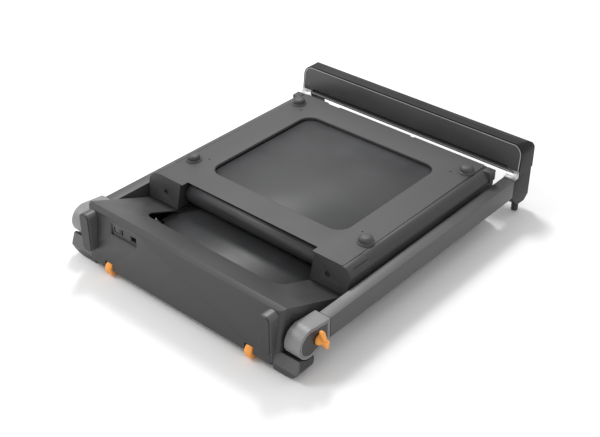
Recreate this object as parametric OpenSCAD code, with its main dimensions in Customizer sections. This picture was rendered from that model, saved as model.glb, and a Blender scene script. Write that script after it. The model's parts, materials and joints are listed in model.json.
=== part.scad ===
// Folding walking pad, lying folded flat with its handrail down.
// Origin: middle of the folded outline, on the floor. +X right, +Y away from the motor end, +Z up.
// The rear half is drawn the way it stands on the floor when open, then turned over by folded().

/* [Handrail] */
// Gap between the side of the deck and the inner face of a post
post_gap = 6; // [5:0.5:16]
// Width of a post, across the pad
post_w = 32; // [28:1:34]
// Height of a post as it lies folded
post_h = 52; // [44:1:56]
// Gap between the folded deck and the end of the posts, where a hand takes hold
carry_gap = 40; // [36:1:60]
// Wall of the post tube
post_wall = 2.5; // [1.5:0.5:4]
// Height of the underside of a folded post above the floor
post_z = 63; // [58:1:68]
// Radius of the round end of the pivot housing
housing_r = 37; // [34:0.5:38]
// Distance from the handrail axis to the start of the post
housing_len = 63; // [56:1:70]
// How much wider the pivot housing is than its post
housing_extra = 10; // [6:1:11]
// Radius of the pivot stub that carries the handrail
stub_r = 12; // [9:0.5:14]
// Distance of the locking knob from the handrail axis
knob_off = 25; // [20:1:32]
// Reach of a wing knob beyond the face of its post
knob_reach = 26; // [20:1:30]
// Length of the wing of a knob
knob_wing = 58; // [40:1:62]

/* [Console] */
// Depth of the console beyond the end of the posts
console_d = 84; // [76:1:96]
// Height of the underside of the console beam above the floor
beam_z = 122; // [118:1:130]
// Height of the console beam
beam_h = 81; // [70:1:95]
// Gap between the post end and the face of the console beam
beam_set = 18; // [14:1:24]
// Lean of the console face over its height
beam_lean = 8; // [2:1:12]
// Radius of the upper corners of the console
beam_corner_r = 30; // [18:1:34]
// Wall of the console mouldings
console_wall = 3; // [2:0.5:4]
// Height of the groove that holds a phone
phone_slot_h = 7; // [5:0.5:10]
// Depth of the groove that holds a phone
phone_slot_d = 12; // [8:1:16]
// Height of the underside of the console ends above the floor
leg_z = 30; // [20:1:40]

/* [Deck halves] */
// Depth of the upright-storage bumpers in front of the face
bumper_d = 18; // [12:1:24]
// Distance from the front face to the handrail axis
face_to_pivot = 45; // [43:1:50]
// Length of the front half from its face to the fold
front_len = 792; // [780:1:796]
// Gap between the hood and the end caps of the folded rear half
cap_gap = 15; // [8:1:24]
// Height of the running surface above the floor, same for both halves
run_h = 78; // [76:1:80]
// Gap between the two running surfaces when folded
fold_gap = 14; // [13.5:0.5:16]
// Depth of the fold pins below the running surface
pin_depth = 16; // [15:0.5:17]
// Distance of the fold pins from the end of each half
pin_in = 17; // [14:0.5:17]
// Distance of the side of the flat underside pan from the side of the deck
pan_inset = 27; // [25:1:32]
// Half width of the deck over its side rails
deck_half_w = 322; // [320:1:324]
// Height of the rubber feet
foot_h = 16; // [14:1:17]
// Radius of a rubber foot
foot_r = 21; // [16:1:22]
// Thickness of the pan sheet
pan_t = 1.5; // [1:0.1:2]
// Wall of the side rails
rail_wall = 3; // [2:0.5:3.5]
// Rise of the side rails above the running surface
rail_rise = 3; // [1:0.5:3.5]
// Radius of the outer lower edge of the side rails
rail_edge_r = 27; // [22:1:27]

/* [Running belt] */
// Width of the walking belt
belt_w = 418; // [380:2:420]
// Thickness of the walking belt
belt_t = 2; // [1.2:0.1:2.4]
// Outer height of the belt loop, over both runs
belt_loop_h = 53; // [50:0.5:53]
// Thickness of the running boards
board_t = 15; // [12:0.5:16]
// Reach of the running boards beyond the belt, each side
board_reach = 17; // [12:1:19]
// Gap between the belt and the rails at its sides
belt_side_gap = 5; // [3:0.5:9]
// Radius of the roller axles
axle_r = 7; // [5:0.5:9]
// Distance from the front face to the front roller
front_roller_y = 132; // [128:1:140]

/* [Motor hood] */
// Distance of the side of the hood from the side of the deck
hood_inset = 12; // [11:0.5:16]
// Height of the ridge of the hood
hood_h = 162.5; // [150:0.5:172]
// Length of the hood from the front face
hood_len = 217; // [210:1:219]
// Wall of the hood
hood_wall = 3; // [2:0.5:4]
// Height of the lower edge of the sides of the hood above the floor
skirt_z = 10; // [8:1:12]
// Height of the lower edge of the face above the floor
face_low_z = 22.5; // [18:0.5:26]
// Distance that the face leans back over its height
face_lean = 18.5; // [12:0.5:20]
// Depth of the flat strip along the upper front edge of the hood
strip_d = 15; // [8:1:20]
// Height of the rear end of the hood
hood_end_h = 84; // [82:0.5:85]
// Radius of the corners of the hood, seen from above
hood_corner_r = 16; // [6:1:18]
// Radius of the motor
motor_r = 33; // [26:1:34]
// Length of the motor
motor_len = 150; // [100:2:170]
// Distance from the front face to the motor axis
motor_y = 58; // [52:1:62]

/* [Face fittings] */
// Radius of the transport wheels
wheel_r = 20; // [16:0.5:20.5]
// Width of the transport wheels
wheel_w = 20; // [14:1:24]
// Distance of the middle of a transport wheel from the side of the hood
wheel_inset = 82.5; // [78:0.5:90]
// Width of an upright-storage bumper
bumper_w = 31; // [24:1:32]
// Height of the lower end of the bumpers above the floor
bumper_z = 53; // [46:1:60]
// Height of an upright-storage bumper
bumper_h = 104; // [80:1:105]
// Width of the rocker of the power switch
rocker_w = 28; // [22:1:30]
// Swing of the rocker of the power switch
rocker_swing = 14; // [8:1:16]

/* [Fits] */
// Radial clearance of a shaft in its bore
shaft_clear = 0.05; // [0.03:0.01:0.08]
// Gap between pieces that move past each other
run_gap = 0.4; // [0.3:0.05:0.6]

/* [Hidden] */
$fn = 64;
eps = 0.01;

// Places along the pad
folded_len = bumper_d + front_len + carry_gap + console_d;
y_front = -folded_len / 2;
y_face = y_front + bumper_d;
y_pivot = y_face + face_to_pivot;
y_post = y_pivot + housing_len;
y_back = folded_len / 2;
y_fold = y_face + front_len;
y_post_end = y_fold + carry_gap;
y_pin = y_fold - pin_in;
y_hood_end = y_face + hood_len;
y_cap = y_hood_end + cap_gap;

// Both pivot housings are the same casting: the right one is wider than its post on the inner
// side, and the left one on the outer side
function housing_x0(side) = side > 0 ? x_post_in - housing_extra : x_post_in;
function housing_x1(side) = side > 0 ? x_post_out : x_post_out + housing_extra;

// Places across the pad
hood_half_w = deck_half_w - hood_inset;
pan_half_w = deck_half_w - pan_inset;
board_half_w = belt_w / 2 + board_reach;
x_post_in = deck_half_w + post_gap;
x_post_out = x_post_in + post_w;
wheel_x = hood_half_w - wheel_inset;
x_inner = belt_w / 2 + belt_side_gap;
x_wall = board_half_w + 2;
x_plate = hood_half_w - hood_wall - 1;

// Heights, measured with each half standing on its feet
stack_h = 2 * run_h + fold_gap;
z_pivot = post_z + post_h / 2 - 3;
z_post_top = post_z + post_h;
z_pin = run_h - pin_depth;
z_rail_top = run_h + rail_rise;
z_board_top = run_h - belt_t - 0.3;
z_board = z_board_top - board_t;
z_return = run_h - belt_loop_h;
z_tray = foot_h - 2;
link_len = fold_gap + 2 * pin_depth;

// Belt and rollers
belt_r = belt_loop_h / 2;
z_roller = run_h - belt_r;
roller_r = belt_r - belt_t - run_gap;
roller_wall = 2.5;
plug_t = 14;
roller_half = belt_w / 2 - 1;
y_front_roller = y_face + front_roller_y;
y_rear_roller = y_cap + belt_r + 4;
pulley_r = 22;
pulley_w = 12;
x_pulley = roller_half + 10;

// Fold hinge
hinge_pin_r = 5;
link_r = 13;
link_t = 8;
x_link = deck_half_w - 18;
bracket_t = 6;
x_bracket = x_link - 2 - bracket_t;

// Bolt and screw sizes
bolt_r = 3;
bolt_head_r = 5;
x_bolt = x_inner + 45;

module bar(x0, x1, y0, y1, z0, z1)
    translate([x0, y0, z0]) cube([x1 - x0, y1 - y0, z1 - z0]);

module rod_x(x0, x1, y, z, r)
    translate([x0, y, z]) rotate([0, 90, 0]) cylinder(h = x1 - x0, r = r);

module rod_y(y0, y1, x, z, r)
    translate([x, y0, z]) rotate([-90, 0, 0]) cylinder(h = y1 - y0, r = r);

// Extrudes a shape drawn in (y, z) from x0 to x1
module along_x(x0, x1)
    translate([x0, 0, 0]) rotate([90, 0, 90]) linear_extrude(height = x1 - x0) children();

// Extrudes a shape drawn in (x, z) from y0 to y1
module along_y(y0, y1)
    translate([0, y1, 0]) rotate([90, 0, 0]) linear_extrude(height = y1 - y0) children();

module sided(side)
    if (side < 0) mirror([1, 0, 0]) children(); else children();

module both_sides() {
    children();
    mirror([1, 0, 0]) children();
}

// Turns a half that is drawn standing open over onto the front half
module folded()
    translate([0, 0, stack_h]) mirror([0, 0, 1]) children();

module round_rect(x0, x1, y0, y1, r) {
    translate([x0 + r, y0]) square([x1 - x0 - 2 * r, y1 - y0]);
    translate([x0, y0 + r]) square([x1 - x0, y1 - y0 - 2 * r]);
    for (x = [x0 + r, x1 - r], y = [y0 + r, y1 - r])
        translate([x, y]) circle(r);
}

// Side rail profile, drawn for the right side in (x, z), with one rounded lower edge
module rounded_side(x0, x1, z0, z1, r) {
    translate([x0, z0]) square([x1 - r - x0, z1 - z0]);
    translate([x0, z0 + r]) square([x1 - x0, z1 - z0 - r]);
    translate([x1 - r, z0 + r]) circle(r);
}
module rail_profile() {
    z0 = foot_h + pan_t;
    w = rail_wall;
    difference() {
        rounded_side(x_inner, deck_half_w, z0, z_rail_top, rail_edge_r);
        rounded_side(x_wall + w, deck_half_w - w, z0 + w, z_rail_top - w, rail_edge_r - w);
        translate([x_inner - 1, z_board]) square([x_wall - x_inner + 1, z_rail_top - w - z_board]);
        translate([x_inner - 1, z0 + w]) square([x_wall - x_inner + 1, z_board - 4 - z0 - w]);
    }
}

module side_rail(y0) {
    difference() {
        along_y(y0, y_fold) rail_profile();
        bar(x_link - 1.5, x_link + link_t + 6, y_pin - link_r - 4, y_fold + 1,
            z_pin - link_r - 4, z_rail_top + 1);
    }
}

// Belt over one half: an upper run, a return run and the turn round the roller
module loop_outline(y_roller, r, y_end) {
    translate([y_roller, z_roller]) circle(r);
    translate([y_roller, z_roller - r]) square([y_end - y_roller, 2 * r]);
}
module belt_run(y_roller)
    along_x(-belt_w / 2, belt_w / 2) difference() {
        loop_outline(y_roller, belt_r, y_fold - 10);
        loop_outline(y_roller, belt_r - belt_t, y_fold);
    }

module running_board(y0)
    bar(-board_half_w, board_half_w, y0, y_fold - 14, z_board, z_board_top);

module cross_tubes(places)
    for (y = places)
        difference() {
            bar(-x_wall, x_wall, y - 14, y + 14, z_return + 6, z_board - 5);
            bar(-x_wall - 1, x_wall + 1, y - 11.5, y + 11.5, z_return + 8.5, z_board - 7.5);
        }

// Pan sheet with its rounded window and the turned lip round it
module pan(y0, z0) {
    difference() {
        union() {
            bar(-pan_half_w, pan_half_w, y0, y_fold, z0, z0 + pan_t);
            translate([0, 0, z0])
                linear_extrude(height = z_return - z0 - 2)
                    pan_window(window_lip);
        }
        translate([0, 0, z0 - 1])
            linear_extrude(height = z_return - z0 + 2) pan_window(0);
    }
}
window_half_w = x_inner - 2;
window_y0 = y_cap + 90;
window_y1 = y_fold - 88;
window_r = 36;
window_lip = 2;
module pan_window(grow)
    round_rect(-window_half_w - grow, window_half_w + grow,
               window_y0 - grow, window_y1 + grow, window_r + grow);

foot_x = pan_half_w - 19;
foot_y_near = y_cap + 100;
foot_y_far = y_fold - 56;
module foot(h, r)
    rotate_extrude() {
        square([r, 3]);
        square([r * 0.62, h]);
        translate([r * 0.62, 0]) square([r * 0.2, h - r * 0.2]);
        intersection() {
            translate([r * 0.62, h - r * 0.2]) circle(r * 0.2);
            translate([r * 0.62 - eps, 0]) square([r, h]);
        }
    }

module roller(y) {
    difference() {
        rod_x(-roller_half, roller_half, y, z_roller, roller_r);
        rod_x(-roller_half + plug_t, roller_half - plug_t, y, z_roller, roller_r - roller_wall);
        rod_x(-roller_half - 1, roller_half + 1, y, z_roller, axle_r + shaft_clear);
    }
}

module hinge_bracket() {
    difference() {
        union() {
            bar(x_bracket, x_bracket + bracket_t, y_pin - 70, y_pin, z_pin - 30, z_pin + 12);
            rod_x(x_bracket, x_bracket + bracket_t, y_pin, z_pin, 12);
            bar(x_wall + rail_wall, x_bracket + eps, y_pin - 70, y_pin - 64,
                z_pin - 30, z_pin + 12);
        }
        rod_x(x_bracket - 1, x_bracket + bracket_t + 1, y_pin, z_pin, hinge_pin_r + shaft_clear);
    }
}

// Front half

module front_pan() {
    color("#33363a") difference() {
        union() {
            pan(y_hood_end, z_tray);
            translate([0, 0, z_tray]) linear_extrude(height = pan_t) difference() {
                round_rect(-x_plate, x_plate, y_face + hood_wall + 1, y_hood_end + 20, hood_corner_r);
                both_sides() translate([x_corner - 0.4, y_face - 1])
                    square([x_plate, y_corner + 0.4 - y_face + 1]);
            }
            difference() {
                bar(0.4 - x_corner, x_corner - 0.4, y_face + hood_wall + 1,
                    y_face + hood_wall + 1 + pan_t, z_tray, face_low_z + 5);
                both_sides() bar(wheel_x - wheel_w / 2 - 8, wheel_x + wheel_w / 2 + 8,
                                 y_face, y_wheel, z_tray + pan_t, face_low_z + 6);
            }
            both_sides() for (x = [wheel_x - wheel_w / 2 - 6, wheel_x + wheel_w / 2 + 2])
                difference() {
                    bar(x, x + 4, y_wheel - 7, y_wheel + 26, z_tray, z_wheel + 10);
                    rod_x(x - 1, x + 5, y_wheel, z_wheel, 4);
                }
        }
        both_sides() bar(wheel_x - wheel_w / 2 - 2, wheel_x + wheel_w / 2 + 2,
                         y_wheel - wheel_r, y_wheel + wheel_r + 3, z_tray - 1, z_wheel + 12);
    }
}

module front_side_rail(side)
    color("#43464a") sided(side) {
        side_rail(y_hood_end + 0.5);
        bar(x_inner, pan_half_w - 6, y_hood_end + 0.5, y_hood_end + 30,
            z_tray + pan_t, foot_h + pan_t);
        bar(x_inner, pan_half_w - 6, y_fold - 60, y_fold - 30, z_tray + pan_t, foot_h + pan_t);
    }

module front_running_board()
    color("#5c4a36") running_board(y_front_roller + belt_r + 8);

module front_cross_tubes()
    color("#2c2e30") cross_tubes([y_hood_end + 30, (y_hood_end + y_fold) / 2, y_fold - 34]);

module front_feet()
    color("#1d1e20") both_sides() for (y = [y_face + 82, foot_y_far])
        translate([foot_x, y, z_tray]) mirror([0, 0, 1]) foot(z_tray, foot_r - 1);

module front_belt()
    color("#1b1c1e") belt_run(y_front_roller);

// The face leans back from its lower edge to a flat strip, and the top falls straight behind it
y_low = y_face - 5.5;
y_top = y_low + face_lean;
y_ridge = y_top + strip_d;
z_top = hood_h - 4;
lean = atan(face_lean / (z_top - face_low_z));
function face_y(z) = y_low + (z - face_low_z) * tan(lean);

// Outline of the hood in (y, z), shrunk by w for its inner face, and open beyond the face
module hood_outline(w) {
    down = w > 0 ? 1 : 0;
    polygon([[y_face + 20, skirt_z - down], [y_face + 20, face_low_z - down],
             [y_low - 40, face_low_z - down],
             [y_low - 40, z_top - (y_top - y_low + 40) * 4 / strip_d - w],
             [y_ridge, hood_h - w * 1.08],
             [y_hood_end + down, hood_end_h - w * 1.08 - down * 0.4],
             [y_hood_end + down, skirt_z - down]]);
}

module hood_body(w)
    intersection() {
        along_x(-hood_half_w + w, hood_half_w - w) hood_outline(w);
        translate([0, y_low, face_low_z]) rotate([-lean, 0, 0]) translate([0, 0, -40])
            linear_extrude(height = 260)
                round_rect(-hood_half_w + w, hood_half_w - w, w, hood_len + 70, hood_corner_r);
    }

mouth_half_w = x_inner + 1;
mouth_y = y_front_roller - 29;
module hood_mouth()
    translate([0, 0, run_h - 20]) linear_extrude(height = 120)
        round_rect(-mouth_half_w, mouth_half_w, mouth_y, y_hood_end + 60, 32);

panel_x0 = 88 - hood_half_w;
panel_w = 92;
panel_x1 = panel_x0 + panel_w;
panel_z0 = 116;
panel_z1 = 152;
y_panel = face_y(panel_z1) + 0.5;
panel_d = 11.4;
panel_rim = 2;
side_screws = [[63, 130], [55, 114]];

module motor_hood() {
    color("#4a4d51") difference() {
        hood_body(0);
        hood_body(hood_wall);
        hood_mouth();
        both_sides() bar(wheel_x - wheel_w / 2 - 3, wheel_x + wheel_w / 2 + 3,
                         y_low - 3, y_face + 12, 0, z_wheel + 19);
        both_sides() rod_x(x_plate - 4, hood_half_w + 1, y_pivot, z_pivot, stub_r + 2);
        both_sides() {
            bar(x_corner - 0.3, hood_half_w + 1, y_low - 3, y_corner + 0.3, 0, z_corner_top + 0.3);
        }
        both_sides() for (s = side_screws)
            rod_x(hood_half_w - 6, hood_half_w + 1, y_front + s[0], s[1], bolt_r + 0.2);
        bar(panel_x0 - 0.2, panel_x1 + 0.2, y_low - 3, y_panel + panel_d + 1,
            panel_z0 - 0.2, panel_z1 + 0.2);
        bar(-hood_half_w - 1, -x_inner, y_hood_end - 14, y_hood_end + 1, 0, z_tray);
        bar(x_inner, hood_half_w + 1, y_hood_end - 14, y_hood_end + 1, 0, z_tray);
    }
}

module hood_screws()
    color("#202123") both_sides() for (s = side_screws) {
        rod_x(hood_half_w - 9, hood_half_w, y_front + s[0], s[1], bolt_r);
        rod_x(hood_half_w, hood_half_w + 1.6, y_front + s[0], s[1], bolt_head_r);
    }

rocker_x = panel_x0 + 26;
rocker_z = 135;
rocker_h = 16;
inlet_x = panel_x1 - 16;
inlet_z = 133;
module power_panel() {
    color("#2a2c2e") difference() {
        along_x(panel_x0, panel_x1)
            polygon([[face_y(panel_z0) + 0.3, panel_z0], [face_y(panel_z1) + 0.3, panel_z1],
                     [y_panel + panel_d, panel_z1], [y_panel + panel_d, panel_z0]]);
        bar(panel_x0 + panel_rim, panel_x1 - panel_rim, y_low, y_panel,
            panel_z0 + panel_rim, panel_z1 - panel_rim);
        bar(rocker_x - rocker_w / 2 - 1.6, rocker_x + rocker_w / 2 + 1.6, y_low, y_panel + panel_d + 1,
            rocker_z - rocker_h / 2 - 0.5, rocker_z + rocker_h / 2 + 0.5);
        rod_z(rocker_x, rocker_y, rocker_z - rocker_h / 2 - 3.5, rocker_z + rocker_h / 2 + 3.5,
              rocker_pin_r + shaft_clear);
        bar(inlet_x - 11, inlet_x + 11, y_low, y_panel + panel_d + 1, inlet_z - 9, inlet_z + 9);
    }
}

module power_inlet() {
    color("#101112") difference() {
        bar(inlet_x - 10.8, inlet_x + 10.8, y_panel + 0.4, y_panel + 25, inlet_z - 8.8, inlet_z + 8.8);
        bar(inlet_x - 8.5, inlet_x + 8.5, y_panel - 1, y_panel + 15, inlet_z - 6, inlet_z + 6);
    }
    color("#c9a85a") for (x = [inlet_x - 4, inlet_x + 4])
        bar(x - 0.7, x + 0.7, y_panel + 5, y_panel + 15 + eps, inlet_z - 2.5, inlet_z + 2.5);
}

// The rocker swings about an upright axis and rests with its left side pressed in
rocker_y = y_panel + 5.4;
rocker_pin_r = 1.5;
module rocker_switch()
    color("#151617") translate([rocker_x, rocker_y, rocker_z - rocker_h / 2]) {
        rotate([0, 0, -rocker_swing / 2]) linear_extrude(height = rocker_h)
            polygon([[-rocker_w / 2, -4], [0, -6], [rocker_w / 2, -4],
                     [rocker_w / 2 - 3, 4], [-rocker_w / 2 + 3, 4]]);
        translate([0, 0, -3]) cylinder(h = rocker_h + 6, r = rocker_pin_r);
    }

bumper_x = hood_half_w - 24.5;
bumper_pad_d = 3;
module capsule(w, z0, z1)
    round_rect(bumper_x - w / 2, bumper_x + w / 2, z0, z1, w / 2 - 3);
module bumper(side)
    color("#3b3d40") sided(side) difference() {
        along_y(y_front + bumper_pad_d, y_face + 20) capsule(bumper_w, bumper_z, bumper_z + bumper_h);
        hood_body(-0.2);
    }
module bumper_pad(side)
    color("#232427") sided(side)
        along_y(y_front, y_front + bumper_pad_d)
            capsule(bumper_w - 1, bumper_z + 0.5, bumper_z + bumper_h - 0.5);

// The corner foot cradles the pivot housing, and has a large round outer lower edge. A web at its
// inner end closes the cut corner of the hood.
corner_z = 3;
corner_r = 32;
cradle_r = housing_r + 3;
x_corner = hood_half_w - 20;
y_corner = y_pivot - 22.5;
z_corner_top = 57;
corner_edge_z = 28;
corner_web = 3;
module corner_foot_outline()
    difference() {
        polygon([[y_face + 6, corner_z], [y_face - 1, corner_edge_z], [y_face + 10, z_corner_top],
                 [y_pivot + 12, z_corner_top], [y_pivot + 12, corner_z + 6], [y_pivot + 6, corner_z]]);
        translate([y_pivot, z_pivot]) circle(cradle_r);
    }
module corner_foot(side)
    color("#5b5e61") sided(side) difference() {
        union() {
            intersection() {
                along_x(x_corner, housing_x1(side)) corner_foot_outline();
                along_y(y_face - 20, y_pivot + 60)
                    round_rect(x_corner - 60, housing_x1(side) - 1, corner_z, z_corner_top + 60,
                               corner_r);
            }
            along_x(x_corner, x_corner + corner_web)
                polygon([[face_y(face_low_z) + 0.4, face_low_z], [face_y(z_corner_top) + 0.4, z_corner_top],
                         [y_corner + 1, z_corner_top], [y_corner + 1, face_low_z]]);
        }
        bar(x_corner - 1, hood_half_w, y_corner, y_pivot + 20, 0, z_corner_top + 1);
    }

module pivot_bracket(side)
    color("#5a5d60") sided(side) {
        bar(x_plate - 6, x_plate, y_pivot - 22, y_pivot + 45, z_tray + pan_t, z_pivot + 24);
        bar(x_plate - 40, x_plate - 6 + eps, y_pivot - 22, y_pivot + 45,
            z_tray + pan_t, z_tray + pan_t + 4);
        rod_x(x_plate - eps, x_post_out - 6, y_pivot, z_pivot, stub_r);
        rod_x(x_plate - eps, housing_x0(side) - run_gap, y_pivot, z_pivot, stub_r + 1.5);
    }

y_wheel = y_face - 12 + wheel_r;
z_wheel = wheel_r + 1;
crown_r = 15;
module transport_wheel(side)
    color("#f28c28") sided(side) difference() {
        translate([wheel_x, y_wheel, z_wheel]) rotate([0, 90, 0]) rotate_extrude() intersection() {
            translate([0, -wheel_w / 2]) square([wheel_r, wheel_w]);
            translate([wheel_r - crown_r, 0]) circle(crown_r);
        }
        rod_x(wheel_x - wheel_w, wheel_x + wheel_w, y_wheel, z_wheel, 4 + shaft_clear);
    }

module wheel_axles()
    color("#8e9194") both_sides()
        rod_x(wheel_x - wheel_w / 2 - 7, wheel_x + wheel_w / 2 + 7, y_wheel, z_wheel, 4);

module front_roller() {
    color("#a7abae") roller(y_front_roller);
    color("#3a3c3e") difference() {
        rod_x(roller_half, x_pulley + pulley_w, y_front_roller, z_roller, pulley_r);
        rod_x(roller_half - 1, x_pulley + pulley_w + 1, y_front_roller, z_roller,
              axle_r + shaft_clear);
    }
}

module front_roller_axle() {
    color("#8e9194") rod_x(-roller_half - 22, x_pulley + pulley_w + 14,
                           y_front_roller, z_roller, axle_r);
    color("#6c6f72") for (x = [-roller_half - 20, x_pulley + pulley_w + 4])
        bar(x, x + 10, y_front_roller - 16, y_front_roller + 16, z_tray + pan_t, z_roller - axle_r + 1);
}

z_motor = z_tray + pan_t + motor_r + 6;
y_motor = y_face + motor_y;
motor_pulley_r = 11;
module motor() {
    color("#55585b") {
        rod_x(x_pulley - 8 - motor_len, x_pulley - 8, y_motor, z_motor, motor_r);
        for (x = [x_pulley - motor_len + 12, x_pulley - 48])
            bar(x, x + 12, y_motor - 22, y_motor + 22, z_tray + pan_t, z_motor - motor_r + 12);
    }
    color("#2e3032") rod_x(x_pulley - 22 - motor_len, x_pulley - 8 - motor_len + eps,
                           y_motor, z_motor, motor_r - 4);
}

module motor_pulley()
    color("#b9bcbf") rod_x(x_pulley - 8 + run_gap, x_pulley + pulley_w, y_motor, z_motor, motor_pulley_r);

// Flat drive belt: the straight runs touch both pulleys' outer turns
module drive_belt() {
    gap = run_gap;
    dy = y_front_roller - y_motor;
    dz = z_roller - z_motor;
    span = sqrt(dy * dy + dz * dz);
    lean = asin((pulley_r - motor_pulley_r) / span);
    turn = atan2(dz, dy);
    t = 2;
    r1 = motor_pulley_r + gap;
    r2 = pulley_r + gap;
    color("#141516") along_x(x_pulley + 1, x_pulley + pulley_w - 1)
        translate([y_motor, z_motor]) rotate(turn) difference() {
            belt_outline(span, lean, r1 + t, r2 + t);
            belt_outline(span, lean, r1, r2);
        }
}
module belt_outline(span, lean, r1, r2) {
    circle(r1);
    translate([span, 0]) circle(r2);
    polygon([for (s = [1, -1]) each s > 0
        ? [[-r1 * sin(lean), r1 * cos(lean)], [span - r2 * sin(lean), r2 * cos(lean)]]
        : [[span - r2 * sin(lean), -r2 * cos(lean)], [-r1 * sin(lean), -r1 * cos(lean)]]]);
}

controller_w = 140;
controller_d = 70;
x_controller = 10 - x_inner;
y_controller = y_face + 30;
z_controller = z_tray + pan_t + 8;
fins = 7;
fin_pitch = 10;
fin_t = 3;
module motor_controller() {
    color("#3f4a44") bar(x_controller, x_controller + controller_w, y_controller,
                         y_controller + controller_d, z_controller, z_controller + 2);
    color("#8e9194") {
        for (x = [4, controller_w - 10], y = [4, controller_d - 10])
            translate([x_controller + x, y_controller + y, z_tray + pan_t]) cube([6, 6, 8]);
        translate([x_controller + 10, y_controller + 10, z_controller + 2]) {
            cube([(fins - 1) * fin_pitch + fin_t, controller_d - 20, 4]);
            for (k = [0 : fins - 1])
                translate([k * fin_pitch, 0, 0]) cube([fin_t, controller_d - 20, 28]);
        }
    }
}

module front_hinge_brackets()
    color("#6c6f72") both_sides() hinge_bracket();

module lower_hinge_pins()
    color("#a7abae") both_sides() {
        rod_x(x_bracket, x_link + link_t + 0.5, y_pin, z_pin, hinge_pin_r);
        rod_x(x_link + link_t + 0.5, x_link + link_t + 3, y_pin, z_pin, hinge_pin_r + 2.5);
    }

// Fold links

module hinge_link(side)
    color("#7c8083") sided(side) difference() {
        union() {
            for (z = [z_pin, z_pin + link_len])
                rod_x(x_link, x_link + link_t, y_pin, z, link_r);
            bar(x_link, x_link + link_t, y_pin - link_r, y_pin + link_r, z_pin, z_pin + link_len);
        }
        for (z = [z_pin, z_pin + link_len])
            rod_x(x_link - 1, x_link + link_t + 1, y_pin, z, hinge_pin_r + shaft_clear);
    }

module upper_hinge_pins()
    color("#a7abae") folded() both_sides() {
        rod_x(x_bracket, x_link + link_t + 0.5, y_pin, z_pin, hinge_pin_r);
        rod_x(x_link + link_t + 0.5, x_link + link_t + 3, y_pin, z_pin, hinge_pin_r + 2.5);
    }

// The slack of the walking belt at the fold, inside and outside the hinge
module fold_belt()
    color("#1b1c1e") along_x(-belt_w / 2, belt_w / 2) {
        translate([y_fold - 9.6, run_h - belt_t]) square([belt_t, fold_gap + 2 * belt_t]);
        translate([y_fold - 3, z_return]) square([belt_t, stack_h - 2 * z_return]);
        for (z = [z_return, stack_h - z_return - belt_t])
            translate([y_fold - 9.6, z]) square([7, belt_t]);
    }

// Rear half

// Notches in the far edge of the pan, as [from, to] across the pad
edge_notches = [[-215, -175], [64, 76]];
module rear_pan()
    color("#55585c") folded() difference() {
        union() {
            pan(y_cap + 14, foot_h);
            both_sides() bar(x_inner - 6, pan_half_w, y_cap - cap_top_out, y_cap + 14 + eps,
                             foot_h, foot_h + pan_t);
        }
        for (x = edge_notches)
            bar(x[0], x[1], y_fold - 4, y_fold + 1, foot_h - 1, foot_h + pan_t + 1);
        for (y = [foot_y_near + 26, foot_y_far - 26]) both_sides()
            translate([foot_x - 30, y, foot_h - 1]) cylinder(h = 4, r = 2.5);
    }

block_d = 24;
block_reach = 4;
module rear_side_rail(side)
    color("#43464a") folded() sided(side) {
        side_rail(y_cap + cap_d + 0.2);
        bar(x_link - 1, deck_half_w + block_reach, y_fold - block_d, y_fold,
            foot_h + pan_t, z_pin - link_r - 4.5);
    }

module rear_running_board()
    color("#5c4a36") folded() running_board(y_rear_roller + belt_r + 6);

module rear_cross_tubes()
    color("#2c2e30") folded()
        cross_tubes([y_rear_roller + 60, (y_cap + y_fold) / 2, y_fold - 34]);

module rear_feet()
    color("#1d1e20") folded() both_sides() for (y = [foot_y_near, foot_y_far])
        translate([foot_x, y, foot_h]) mirror([0, 0, 1]) foot(foot_h, foot_r);

module rear_belt()
    color("#1b1c1e") folded() belt_run(y_rear_roller);

module rear_roller()
    color("#a7abae") folded() roller(y_rear_roller);

module rear_roller_axle()
    color("#8e9194") folded() difference() {
        rod_x(-x_bolt - 10, x_bolt + 10, y_rear_roller, z_roller, axle_r);
        both_sides() rod_y(y_rear_roller - 12, y_rear_roller + 12, x_bolt, z_roller, bolt_r);
    }

// The front of an end cap leans: it stands out further at the running surface than at the pan
cap_d = 62;
cap_r = 26;
cap_top_out = 5;
cap_low_out = 21;
y_bolt = y_cap - 12.5;
module end_cap(side)
    color("#4f5256") folded() sided(side) difference() {
        intersection() {
            along_x(x_inner, deck_half_w)
                polygon([[y_cap - cap_top_out, foot_h], [y_cap - cap_low_out, z_rail_top],
                         [y_cap + cap_d, z_rail_top], [y_cap + cap_d, foot_h]]);
            along_y(y_cap - cap_low_out - 10, y_cap + cap_d)
                round_rect(x_inner - 40, deck_half_w, foot_h + pan_t, z_rail_top + 30, cap_r);
            linear_extrude(height = z_rail_top + 10)
                round_rect(x_inner - 40, deck_half_w, y_cap - cap_low_out, y_cap + cap_d + 30, 14);
        }
        bar(x_inner + 10, deck_half_w - 8, y_cap + 8, y_cap + cap_d + 1, foot_h + 8, z_rail_top - 4);
        bar(x_inner - 1, x_inner + 11, y_rear_roller - axle_r - 2, y_cap + cap_d + 1,
            z_roller - axle_r - 0.2, z_roller + axle_r + 0.2);
        rod_y(y_bolt, y_cap + 9, x_bolt, z_roller, bolt_r + 0.3);
        rod_y(y_bolt - 10, y_bolt + 3, x_bolt, z_roller, bolt_head_r + 2);
    }

module belt_tension_bolts()
    color("#a7abae") folded() both_sides() difference() {
        union() {
            rod_y(y_bolt + 3, y_rear_roller + 12, x_bolt, z_roller, bolt_r);
            rod_y(y_bolt, y_bolt + 3, x_bolt, z_roller, bolt_head_r);
        }
        translate([x_bolt, y_bolt - 1, z_roller]) rotate([-90, 0, 0]) cylinder(h = 3, r = 2.6, $fn = 6);
    }

module rear_hinge_brackets()
    color("#6c6f72") folded() both_sides() hinge_bracket();

// Handrail

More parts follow.
